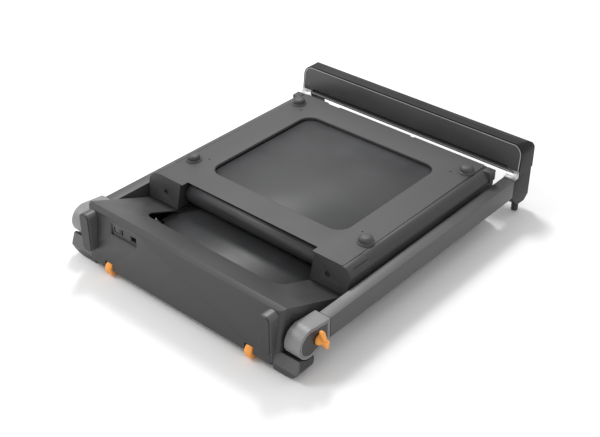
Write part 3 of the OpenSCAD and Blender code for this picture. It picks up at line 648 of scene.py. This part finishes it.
class PAD_OT_face(bpy.types.Operator):
    """Power panel, inlet and rocker switch in the face"""
    bl_idname = "walking_pad.face"
    bl_label = "Face fittings"

    def execute(self, context):
        low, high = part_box("power_panel")
        back, front = high.y, high.y - 0.0114
        inlet_low, inlet_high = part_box("power_inlet")
        switch_low, switch_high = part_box("rocker_switch")
        rocker_x = (switch_low.x + switch_high.x) / 2
        rocker_z = (switch_low.z + switch_high.z) / 2
        holes = [((rocker_x - 0.0156, rocker_z - 0.0085), (rocker_x + 0.0156, rocker_z + 0.0085),
                  0.0012),
                 ((inlet_low.x - 0.0002, inlet_low.z - 0.0002),
                  (inlet_high.x + 0.0002, inlet_high.z + 0.0002), 0.003)]
        bm = bmesh.new()
        outer = outline_ring((low.x, low.z), (high.x, high.z), 0.001, 0.0, 0.0, 3)
        loops = [[(p.x, p.z) for p in outer]]
        for a, b, r in holes:
            loops.append([(p.x, p.z) for p in outline_ring(a, b, r, 0.0, 0.0, 4)])
        rows = []
        for y, up in ((front, -1), (back, 1)):
            edges = []
            loop_rows = []
            for loop in loops:
                verts = [bm.verts.new((px, y, pz)) for px, pz in loop]
                loop_rows.append(verts)
                edges += [bm.edges.new((verts[k], verts[(k + 1) % len(verts)]))
                          for k in range(len(verts))]
            bmesh.ops.triangle_fill(bm, use_beauty=True, use_dissolve=False, edges=edges,
                                    normal=(0, up, 0))
            rows.append(loop_rows)
        for a, b in zip(*rows):
            join_rows(bm, a, b)
        bmesh.ops.recalc_face_normals(bm, faces=bm.faces)
        panel = add_mesh("power_panel_moulded", bm, casing(), "base", slot_of("power_panel"),
                         "power_panel")
        sharp_by_angle(panel, 30)

        # Frame of the recess round the panel, flush with the leaning face
        frame_box = ((low.x, low.z), (high.x, high.z))
        rings = [outline_ring(*frame_box, 0.002, 0.0, front + 0.002, 4)]
        for radius, inset, sink in ((0.002, 0.0, 0.0006), (0.002, 0.0004, 0.0002),
                                    (0.001, 0.0016, 0.0002), (0.001, 0.002, 0.0006)):
            ring = outline_ring(*frame_box, radius, inset, 0.0, 4)
            for point in ring:
                point.y = face_line(point.z) + sink
            rings.append(ring)
        rings.append(outline_ring(*frame_box, 0.001, 0.002, front + 0.0004, 4))
        bm = bmesh.new()
        bridge(bm, rings)
        well = add_mesh("panel_recess", bm, bumper_plastic(), "base", slot_of("power_panel"))
        sharp_by_angle(well, 40)

        # Raised rim round the switch
        bm = bmesh.new()
        wide = 0.0016
        a, b, r = holes[0]
        bridge(bm, [outline_ring(a, b, r + 0.0004, inset, front - lift, 6) for inset, lift in
                    ((0.0, 0.0), (0.0, 0.0006), (-wide, 0.0006), (-wide - 0.0004, 0.0))])
        rim = add_mesh("switch_rim", bm, bumper_plastic(), "base", slot_of("power_panel"))
        sharp_by_angle(rim, 30)

        # Inlet: rounded shroud, a floor and two blades
        shroud = ((inlet_low.x, inlet_low.z), (inlet_high.x, inlet_high.z))
        mouth_y, floor_y, end_y = inlet_low.y, inlet_low.y + 0.015, inlet_high.y
        bm = bmesh.new()
        bridge(bm, [outline_ring(*shroud, 0.003, 0.0, end_y),
                    outline_ring(*shroud, 0.003, 0.0, mouth_y + 0.0004),
                    outline_ring(*shroud, 0.003, 0.0004, mouth_y),
                    outline_ring(*shroud, 0.004, 0.0021, mouth_y),
                    outline_ring(*shroud, 0.004, 0.0025, mouth_y + 0.0006),
                    outline_ring(*shroud, 0.004, 0.0025, floor_y)], caps=True)
        for side in (-1, 1):
            x = (inlet_low.x + inlet_high.x) / 2 + side * 0.004
            z = (inlet_low.z + inlet_high.z) / 2
            blade = ((x - 0.0007, z - 0.0025), (x + 0.0007, z + 0.0025))
            bridge(bm, [outline_ring(*blade, 0.0007, 0.0, floor_y),
                        outline_ring(*blade, 0.0007, 0.0, mouth_y + 0.0056),
                        outline_ring(*blade, 0.0007, 0.0004, mouth_y + 0.005)], caps=True)
        inlet = add_mesh("inlet_socket", bm, black_plastic(), "base", slot_of("power_inlet"),
                         "power_inlet")
        sharp_by_angle(inlet, 40)

        # Rocker: dished face between two crests, turned with its left side pressed in
        bm = bmesh.new()
        swing = ROCKER_TILT
        pivot = Vector((rocker_x, front + 0.0054, rocker_z))
        half_x, half_z = 0.0138, 0.0079
        face = []
        for k in range(13):
            u = -1 + k / 6
            face.append((u * half_x,
                         -0.0056 + 0.0018 * math.cos(u * math.pi / 2) * 0.6 - 0.0004 * abs(u)))
        profile = face + [(half_x - 0.003, 0.004), (-half_x + 0.003, 0.004)]
        rings = []
        for z, shrink in ((-half_z, 0.0006), (-half_z + 0.0006, 0.0),
                          (half_z - 0.0006, 0.0), (half_z, 0.0006)):
            ring = []
            for px, py in profile:
                px *= 1 - shrink / half_x
                py += shrink if py < 0 else 0
                ring.append(pivot + Vector((px * math.cos(swing) - py * math.sin(swing),
                                            px * math.sin(swing) + py * math.cos(swing), z)))
            rings.append(ring)
        bridge(bm, rings, caps=True)
        lathe(bm, [(0.0, -0.011), (0.0015, -0.011), (0.0015, 0.011), (0.0, 0.011)], pivot,
              (0, 0, 1), 16)
        rocker = add_mesh("rocker_moulded", bm, rocker_plastic(), "power_rocker",
                          slot_of("rocker_switch"),
                          "rocker_switch")
        sharp_by_angle(rocker, 35)
        return {"FINISHED"}


class PAD_OT_bumpers(bpy.types.Operator):
    """Upright-storage bumpers and their rubber pads"""
    bl_idname = "walking_pad.bumpers"
    bl_label = "Bumpers"

    def execute(self, context):
        for side in ("left", "right"):
            for node, material, seam in ((f"bumper_{side}", bumper_plastic(), "front"),
                                         (f"bumper_pad_{side}", pad_plastic(), "back")):
                low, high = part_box(node)
                corners = ((low.x, low.z), (high.x, high.z))
                radius = (high.x - low.x) / 2 - 0.003
                if seam == "back":
                    edge = sizes().pad_round
                    stations = [(high.y, 0.0006), (high.y - 0.0005, 0.0)]
                    for k in range(7):
                        a = math.radians(90 * k / 6)
                        stations.append((low.y + edge * (1 - math.sin(a)),
                                         edge * (1 - math.cos(a))))
                    stations.append((low.y, edge + 0.002))
                    rings = []
                else:
                    stations = [(low.y + 0.004, 0.0), (low.y + 0.0006, 0.0), (low.y, 0.0006)]
                    rings = [outline_ring(*corners, radius, 0.0, 0.0)]
                    for point in rings[0]:
                        point.y = face_line(point.z) + 0.001
                rings += [outline_ring(*corners, radius, inset, y) for y, inset in stations]
                bm = bmesh.new()
                bridge(bm, rings, caps=True)
                piece = add_mesh(node + "_skin", bm, material, body_of(node), slot_of(node), node)
                sharp_by_angle(piece, 50)
        return {"FINISHED"}


class PAD_OT_wheels(bpy.types.Operator):
    """Transport wheels with a grooved tread, and their axles"""
    bl_idname = "walking_pad.wheels"
    bl_label = "Transport wheels"

    def execute(self, context):
        for side in ("left", "right"):
            node = f"transport_wheel_{side}"
            low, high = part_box(node)
            centre = (low + high) / 2
            radius = (high.z - low.z) / 2
            half = (high.x - low.x) / 2
            bore = 0.0041
            profile = [(bore, -half + 0.001), (bore + 0.004, -half), (radius * 0.5, -half + 0.0008)]
            for k in range(-12, 13):
                across = half * k / 12
                crown = 0.0148
                tread = radius - crown + math.sqrt(crown ** 2 - across ** 2)
                if abs(k) in (2, 3):
                    tread -= 0.0005
                profile.append((tread, across))
            profile += [(radius * 0.5, half - 0.0008), (bore + 0.004, half), (bore, half - 0.001),
                        (bore, -half + 0.001)]
            bm = bmesh.new()
            lathe(bm, profile, centre, (1, 0, 0), 64)
            bmesh.ops.remove_doubles(bm, verts=bm.verts, dist=1e-6)
            add_mesh(f"wheel_{side}", bm, orange_plastic(), body_of(node), slot_of(node), node)
        dress("wheel_axles", steel())
        return {"FINISHED"}


class PAD_OT_front_deck(bpy.types.Operator):
    """Front side rails, pan, running board and feet"""
    bl_idname = "walking_pad.front_deck"
    bl_label = "Front deck"

    def execute(self, context):
        for side in ("left", "right"):
            softened(f"front_side_rail_{side}", rail_coat(), 0.0008, 2)
        softened("front_pan", pan_coat(), 0.0004, 2)
        dress("front_running_board", fibreboard())
        dress("front_cross_tubes", dark_steel())
        rubber_feet("front_feet", black_rubber(), -1)
        return {"FINISHED"}


class PAD_OT_belt(bpy.types.Operator):
    """Walking belt on both halves, and its slack at the fold"""
    bl_idname = "walking_pad.belt"
    bl_label = "Walking belt"

    def execute(self, context):
        for node in ("front_belt", "rear_belt"):
            softened(node, belt_material(), 0.0003, 1)
        low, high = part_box("front_belt")
        fold = high.y + 0.010
        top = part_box("rear_belt")[1].z
        middle = (low.z + top) / 2
        pin = (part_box("lower_hinge_pins")[0].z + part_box("lower_hinge_pins")[1].z) / 2

        def strip(bm, path):
            rings = []
            for x in (low.x, -0.1, 0.0, 0.1, high.x):
                inner = [Vector((x, y, z)) for y, z in path]
                outer = [Vector((x, y + 0.002, z)) for y, z in reversed(path)]
                rings.append(inner + outer)
            bridge(bm, rings, caps=True)

        def upright(y, z0, z1):
            return [(y + 0.0004 * math.sin(math.pi * k / 8), z0 + (z1 - z0) * k / 8)
                    for k in range(9)]

        turn = [(fold - 0.0096, low.z + 0.0006), (fold - 0.0055, low.z + 0.001),
                (fold - 0.0038, low.z + 0.0024)]
        for name, node, flip in (("belt_turn_front", "front_belt", False),
                                 ("belt_turn_rear", "rear_belt", True)):
            path = turn + upright(fold - 0.003, low.z + 0.005, pin)
            if flip:
                path = [(y, 2 * middle - z) for y, z in reversed(path)]
            bm = bmesh.new()
            strip(bm, path)
            sharp_by_angle(add_mesh(name, bm, belt_material(), body_of(node), slot_of("fold_belt")),
                           50)
        bm = bmesh.new()
        strip(bm, upright(fold - 0.003, pin, 2 * middle - pin))
        strip(bm, upright(fold - 0.0096, high.z - 0.002, 2 * middle - high.z + 0.002))
        sharp_by_angle(add_mesh("belt_slack", bm, belt_material(), body_of("fold_belt"),
                                slot_of("fold_belt"),
                                "fold_belt"), 50)
        return {"FINISHED"}


class PAD_OT_works(bpy.types.Operator):
    """Motor, pulleys, drive belt, controller, rollers and axles"""
    bl_idname = "walking_pad.works"
    bl_label = "Drive"

    def execute(self, context):
        dress("motor", dark_steel())
        dress("motor_pulley", steel())
        dress("drive_belt", black_rubber())
        dress("motor_controller", circuit_board())
        for node in ("front_roller", "front_roller_axle", "rear_roller", "rear_roller_axle"):
            dress(node, steel())
        dress("pivot_bracket_left", zinc())
        dress("pivot_bracket_right", zinc())
        return {"FINISHED"}


class PAD_OT_hinge(bpy.types.Operator):
    """Fold hinge: brackets, links and pins"""
    bl_idname = "walking_pad.hinge"
    bl_label = "Fold hinge"

    def execute(self, context):
        for node in ("front_hinge_brackets", "rear_hinge_brackets", "hinge_link_left",
                     "hinge_link_right"):
            softened(node, zinc(), 0.0006, 2)
        for node in ("lower_hinge_pins", "upper_hinge_pins"):
            softened(node, steel(), 0.0006, 2)
        return {"FINISHED"}


# Rear half

def rubber_feet(node, material, up):
    """Four domed feet with a flange ring, on the base of the node's box."""
    low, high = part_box(node)
    height = high.z - low.z
    r = REAR_FOOT_RADIUS if up > 0 else FRONT_FOOT_RADIUS
    base = low.z if up > 0 else high.z
    profile = [(0.0, height), (r * 0.42, height), (r * 0.6, height * 0.94),
               (r * 0.72, height * 0.82),
               (r * 0.8, height * 0.62), (r * 0.815, height * 0.4), (r * 0.8, height * 0.24),
               (r * 0.84, height * 0.19), (r * 0.95, height * 0.18), (r * 0.99, height * 0.12),
               (r, 0.0), (0.0, 0.0)]
    bm = bmesh.new()
    for x in (low.x + r, high.x - r):
        for y in (low.y + r, high.y - r):
            lathe(bm, profile, Vector((x, y, base)), (0, 0, up), 48)
    bmesh.ops.recalc_face_normals(bm, faces=bm.faces)
    piece = add_mesh(node + "_moulded", bm, material, body_of(node), slot_of(node), node)
    sharp_by_angle(piece, 75)


class PAD_OT_rear_pan(bpy.types.Operator):
    """Rear pan with the rolled rim of its window"""
    bl_idname = "walking_pad.rear_pan"
    bl_label = "Rear pan"

    def execute(self, context):
        low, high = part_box("rear_pan")
        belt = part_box("rear_belt")
        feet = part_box("rear_feet")
        top = high.z
        sheet = 0.0015
        inner = belt[1].x + 0.005
        wing, near, far, half = low.y, low.y + 0.019, high.y, high.x
        outer = [(half - 0.003, wing), (half, wing + 0.003), (half, far - 0.003),
                 (half - 0.003, far),
                 (0.076, far), (0.076, far - 0.004), (0.064, far - 0.004), (0.064, far),
                 (-0.175, far), (-0.175, far - 0.004), (-0.215, far - 0.004), (-0.215, far),
                 (-half + 0.003, far), (-half, far - 0.003), (-half, wing + 0.003),
                 (-half + 0.003, wing),
                 (-inner + 0.006, wing), (-inner + 0.006, near), (inner - 0.006, near),
                 (inner - 0.006, wing)]
        cap = near - 0.014
        window = (inner - 0.002, cap + 0.09, far - 0.088, 0.036)
        grow = 0.0026

        def ring(out, z):
            return rounded_ring(window[0] + out, window[1] - out, window[2] + out, window[3] + out,
                                z, 16)

        holes = []
        for y in (feet[0].y + REAR_FOOT_RADIUS + 0.026, feet[1].y - REAR_FOOT_RADIUS - 0.026):
            for x in (-1, 1):
                holes.append(circle_points(x * (half - 0.049), y, 0.0025))
        bm = bmesh.new()
        upper = flat_sheet(bm, [outer, [(p.x, p.y) for p in ring(grow, 0)], *holes], top, 1)
        lower = flat_sheet(bm, [outer, [(p.x, p.y) for p in ring(grow, 0)], *holes], top - sheet,
                           -1)
        for a, b in zip(upper, lower):
            if a is upper[1]:
                continue
            join_rows(bm, a, b)
        drop = sizes().rim_drop
        rows = [upper[1]]
        for k in range(1, 7):
            a = math.radians(90 * k / 6)
            points = ring(grow * (1 - math.sin(a)), top - grow * 0.8 * (1 - math.cos(a)))
            rows.append([bm.verts.new(p) for p in points])
        rows.append([bm.verts.new(p) for p in ring(0.0, top - drop)])
        rows.append([bm.verts.new(p) for p in ring(sheet, top - drop)])
        rows.append([bm.verts.new(p) for p in ring(sheet, top - sheet - grow * 0.6)])
        rows.append(lower[1])
        for a, b in zip(rows, rows[1:]):
            join_rows(bm, a, b)
        bmesh.ops.recalc_face_normals(bm, faces=bm.faces)
        # Black strip inside the window's rim: painted shade for the dark gap between the rim and the
        # belt below
        shade_strip_mesh = bmesh.new()
        bridge(shade_strip_mesh, [ring(out, top - down) for out, down in
                      ((0.0004, 0.002), (-0.0006, 0.0024), (-0.0006, drop + 0.0012),
                       (0.0004, drop + 0.0016))])
        shade_strip = add_mesh("window_shade_strip", shade_strip_mesh, black_rubber(), body_of("rear_pan"),
                          slot_of("rear_feet"))
        sharp_by_angle(shade_strip, 40)
        piece = add_mesh("rear_pan_pressing", bm, pan_coat(), body_of("rear_pan"),
                         slot_of("rear_pan"), "rear_pan")
        sharp_by_angle(piece, 40)
        return {"FINISHED"}


class PAD_OT_rear_deck(bpy.types.Operator):
    """Rear side rails, end caps, running board, tension bolts and feet"""
    bl_idname = "walking_pad.rear_deck"
    bl_label = "Rear deck"

    def execute(self, context):
        for side in ("left", "right"):
            softened(f"rear_side_rail_{side}", rail_coat(), 0.0008, 2)
            softened(f"end_cap_{side}", cap_plastic(), 0.0016, 4)
        dress("rear_running_board", fibreboard())
        dress("rear_cross_tubes", dark_steel())
        softened("belt_tension_bolts", dark_steel(), 0.0004, 2)
        rubber_feet("rear_feet", foot_rubber(), 1)
        return {"FINISHED"}


# Handrail

class PAD_OT_posts(bpy.types.Operator):
    """Handrail posts, pivot housings and their cover plates"""
    bl_idname = "walking_pad.posts"
    bl_label = "Posts and pivots"

    def execute(self, context):
        for side in ("left", "right"):
            softened(f"post_{side}", post_coat(), 0.0012, 3)
            softened(f"pivot_housing_{side}", housing_paint(), 0.0012, 4)
            softened(f"pivot_cover_{side}", cover_plastic(), 0.0006, 2)
            outward = Vector((1 if side == "right" else -1, 0, 0))
            # Thin light rim round the cover's face: a painted highlight along its edge
            face_rim(f"pivot_cover_{side}", outward, 0.0012, 0.0011, 0.0004, painted_highlight_edge(),
                     f"cover_highlight_rim_{side}")
            low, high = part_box(f"post_{side}")
            section = ((low.x, low.z), (high.x, high.z))
            bm = bmesh.new()
            bridge(bm, [outline_ring(*section, 0.002, inset, low.y + along, 4) for inset, along in
                        ((0.002, 0.0), (-0.0005, 0.0002), (-0.0005, 0.0014), (0.002, 0.0016))])
            joint = add_mesh(f"post_joint_{side}", bm, black_rubber(), body_of(f"post_{side}"),
                             slot_of(f"post_{side}"))
            sharp_by_angle(joint, 40)
        return {"FINISHED"}


class PAD_OT_knobs(bpy.types.Operator):
    """Orange wing knobs"""
    bl_idname = "walking_pad.knobs"
    bl_label = "Wing knobs"

    def execute(self, context):
        for side, sign in (("left", -1), ("right", 1)):
            node = f"wing_knob_{side}"
            low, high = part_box(node)
            outer = high.x if sign > 0 else low.x
            inner = low.x if sign > 0 else high.x
            centre = Vector((inner, (low.y + high.y) / 2, (low.z + high.z) / 2))
            reach = abs(outer - inner)
            stud = 0.0164
            boss = reach - stud
            bm = bmesh.new()
            lathe(bm, [(0.0, 0.0), (0.0045, 0.0), (0.005, 0.0005), (0.005, stud), (0.0128, stud),
                       (0.0136, stud + 0.001), (0.0134, stud + boss * 0.18),
                       (0.0112, stud + boss * 0.36),
                       (0.008, stud + boss * 0.52), (0.007, reach - 0.002), (0.006, reach - 0.0006),
                       (0.004, reach), (0.0, reach)], centre, (sign, 0, 0), 40)
            tilt = math.radians(17 if sign > 0 else 68)
            depth_of_wing = 0.012 if sign > 0 else 0.008
            along = Vector((0, math.sin(tilt), -math.cos(tilt)))
            across = Vector((0, math.cos(tilt), math.sin(tilt)))
            away = Vector((sign, 0, 0))
            half_wing = sizes().knob_wing / 2
            offset = along * (-0.008 if sign > 0 else 0.0)
            rings = []
            for share, inset in ((0.0, 0.0045), (0.07, 0.002), (0.22, 0.0), (0.78, 0.0),
                                 (0.93, 0.002), (1.0, 0.0045)):
                ring = []
                for k in range(40):
                    a = 2 * math.pi * k / 40
                    c, d = math.cos(a), math.sin(a)
                    u = math.copysign(abs(c) ** 0.55, c) * (half_wing - inset)
                    waist = 0.0046 + 0.0022 * abs(u / half_wing) ** 1.5
                    v = math.copysign(abs(d) ** 0.8, d) * max(waist - inset * 0.5, 0.001)
                    ring.append(centre
                                + away * (reach - depth_of_wing - 0.003 + share * depth_of_wing)
                                + offset + along * u + across * v)
                rings.append(ring)
            bridge(bm, rings, caps=True)
            piece = add_mesh(node + "_moulded", bm, orange_plastic(), body_of(node), slot_of(node),
                             node)
            sharp_by_angle(piece, 60)
        return {"FINISHED"}


class PAD_OT_console(bpy.types.Operator):
    """Console with its face, brackets and feet"""
    bl_idname = "walking_pad.console"
    bl_label = "Console"

    def execute(self, context):
        softened("console_shell", console_plastic(), sizes().casing_round, 4)
        softened("console_panel", console_face(), 0.0012, 3)
        # Thin light rim round the console's face: a painted highlight along its edge
        face_rim("console_panel", Vector((0, -1, 0)), 0.0, 0.002, 0.0006, painted_highlight_edge(),
                 "console_highlight_rim")
        softened("console_brackets", zinc(), 0.0008, 3)
        softened("console_feet", black_rubber(), 0.001, 3)
        return {"FINISHED"}


# Stage

class PAD_OT_stage(bpy.types.Operator):
    """Pale floor, soft studio light and the camera"""
    bl_idname = "walking_pad.stage"
    bl_label = "Stage"

    def execute(self, context):
        scene = context.scene
        data = bpy.data.cameras.new("camera")
        camera = bpy.data.objects.new("camera", data)
        scene.collection.objects.link(camera)
        azimuth, elevation = CAMERA_AZIMUTH, CAMERA_ELEVATION
        back = Vector((math.sin(azimuth) * math.cos(elevation),
                       -math.cos(azimuth) * math.cos(elevation), math.sin(elevation)))
        camera.location = CAMERA_TARGET + back * CAMERA_DISTANCE
        camera.rotation_euler = (-back).to_track_quat("-Z", "Y").to_euler()
        data.sensor_fit = "HORIZONTAL"
        data.sensor_width = SENSOR_WIDTH
        data.lens = FOCAL_PIXELS / PICTURE_PIXELS * SENSOR_WIDTH
        data.clip_end = 60.0
        scene.camera = camera

        bm = bmesh.new()
        bmesh.ops.create_grid(bm, x_segments=1, y_segments=1, size=14.0)
        mesh = bpy.data.meshes.new("floor")
        bm.to_mesh(mesh)
        bm.free()
        floor = bpy.data.objects.new("floor", mesh)
        floor.location.z = -0.0004
        scene.collection.objects.link(floor)
        mesh.materials.append(grained("pale_floor", (0.86, 0.86, 0.86), (0.7, 0.8), 60.0, 0.0001,
                                      1.0, spread=0.01))

        world = bpy.data.worlds.new("studio")
        world.use_nodes = True
        tree = world.node_tree
        background = tree.nodes["Background"]
        background.inputs["Color"].default_value = (1, 1, 1, 1)
        path = tree.nodes.new("ShaderNodeLightPath")
        level = tree.nodes.new("ShaderNodeMapRange")
        level.inputs["To Min"].default_value = 0.85
        level.inputs["To Max"].default_value = 1.0
        tree.links.new(path.outputs["Is Camera Ray"], level.inputs["Value"])
        tree.links.new(level.outputs["Result"], background.inputs["Strength"])
        scene.world = world
        scene.view_settings.view_transform = "Standard"

        def soft_light(name, place, aim, size, power):
            light = bpy.data.lights.new(name, "AREA")
            light.shape = "RECTANGLE"
            light.size = size[0]
            light.size_y = size[1]
            light.energy = power
            lamp = bpy.data.objects.new(name, light)
            lamp.location = place
            lamp.rotation_euler = (Vector(aim) - Vector(place)).to_track_quat("-Z", "Y").to_euler()
            scene.collection.objects.link(lamp)

        soft_light("overhead", (-1.1, 1.1, 2.5), (-0.1, 0, 0), (0.6, 0.6), 42)
        soft_light("left_window", (-3.4, -0.8, 1.2), (0, 0, 0.1), (1.8, 2.2), 12)
        soft_light("front_fill", (-1.8, -2.0, 2.8), (0, -0.2, 0.1), (1.0, 1.0), 38)
        return {"FINISHED"}


STEPS = (PAD_OT_hood, PAD_OT_face, PAD_OT_bumpers, PAD_OT_wheels, PAD_OT_front_deck, PAD_OT_belt,
         PAD_OT_works, PAD_OT_hinge, PAD_OT_rear_pan, PAD_OT_rear_deck, PAD_OT_posts, PAD_OT_knobs,
         PAD_OT_console, PAD_OT_stage)


class PAD_PT_panel(bpy.types.Panel):
    """Lists the pieces of the walking pad"""
    bl_idname = "PAD_PT_panel"
    bl_label = "Walking pad"
    bl_space_type = "VIEW_3D"
    bl_region_type = "UI"
    bl_category = "Walking pad"

    def draw(self, context):
        for group in (context.scene.walking_pad_sizes, context.scene.walking_pad_colours):
            for name in group.__annotations__:
                self.layout.prop(group, name)
        for step in STEPS:
            self.layout.operator(step.bl_idname)


CLASSES = (WalkingPadSizes, WalkingPadColours, *STEPS, PAD_PT_panel)


def register():
    for cls in CLASSES:
        bpy.utils.register_class(cls)
    bpy.types.Scene.walking_pad_sizes = PointerProperty(type=WalkingPadSizes)
    bpy.types.Scene.walking_pad_colours = PointerProperty(type=WalkingPadColours)


def unregister():
    del bpy.types.Scene.walking_pad_colours
    del bpy.types.Scene.walking_pad_sizes
    for cls in reversed(CLASSES):
        bpy.utils.unregister_class(cls)


def main():
    register()
    bpy.ops.walking_pad.hood()
    bpy.ops.walking_pad.face()
    bpy.ops.walking_pad.bumpers()
    bpy.ops.walking_pad.wheels()
    bpy.ops.walking_pad.front_deck()
    bpy.ops.walking_pad.belt()
    bpy.ops.walking_pad.works()
    bpy.ops.walking_pad.hinge()
    bpy.ops.walking_pad.rear_pan()
    bpy.ops.walking_pad.rear_deck()
    bpy.ops.walking_pad.posts()
    bpy.ops.walking_pad.knobs()
    bpy.ops.walking_pad.console()
    bpy.ops.walking_pad.stage()


if __name__ == "__main__":
    main()
